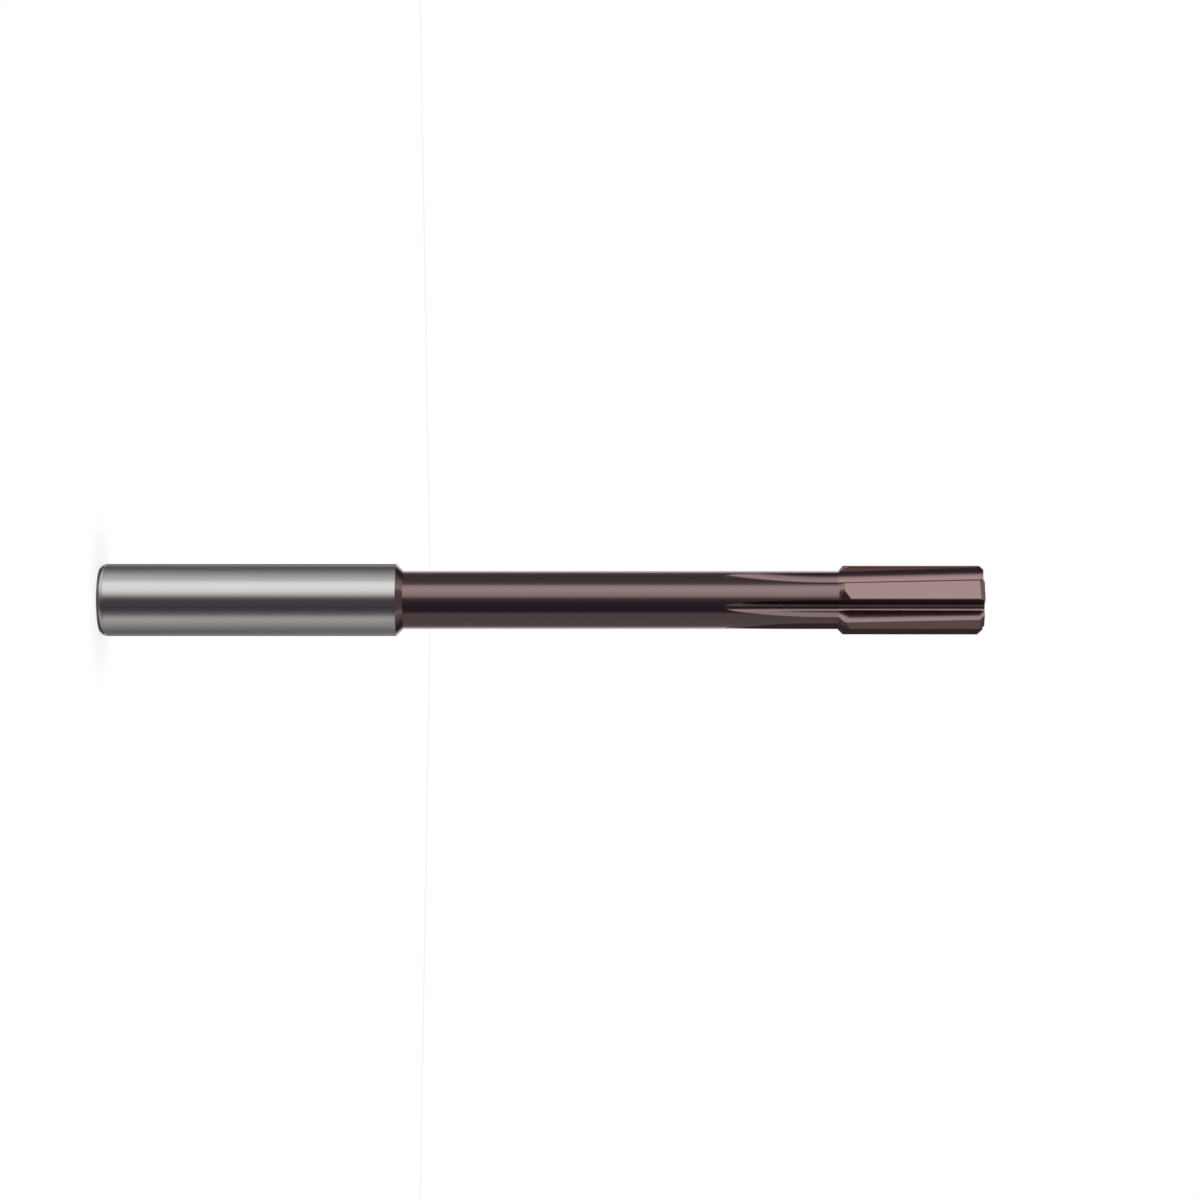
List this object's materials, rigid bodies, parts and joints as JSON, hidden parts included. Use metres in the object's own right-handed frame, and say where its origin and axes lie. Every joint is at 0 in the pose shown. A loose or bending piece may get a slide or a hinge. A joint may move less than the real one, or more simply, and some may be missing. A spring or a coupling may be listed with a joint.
{
  "type": "machine reamer",
  "caption": "Solid machine reamer with a plain ground shank, a reduced coated neck and a straight-fluted head of unequally spaced teeth.",
  "frame": {"origin": "centre of the flat end face of the shank, where the tool stands", "axes": "+Z along the axis from the shank towards the cutting end; -Y through the cutting edge of the first tooth; the tool cuts by turning right-handed about +Z"},
  "size_m": [0.01, 0.01, 0.1224],
  "materials": {
    "coated_carbide": "fine ground, dark violet-brown hard coating on neck and head, bare ground shank"
  },
  "bodies": {
    "root": {"reamer": "coated_carbide"}
  },
  "joints": []
}
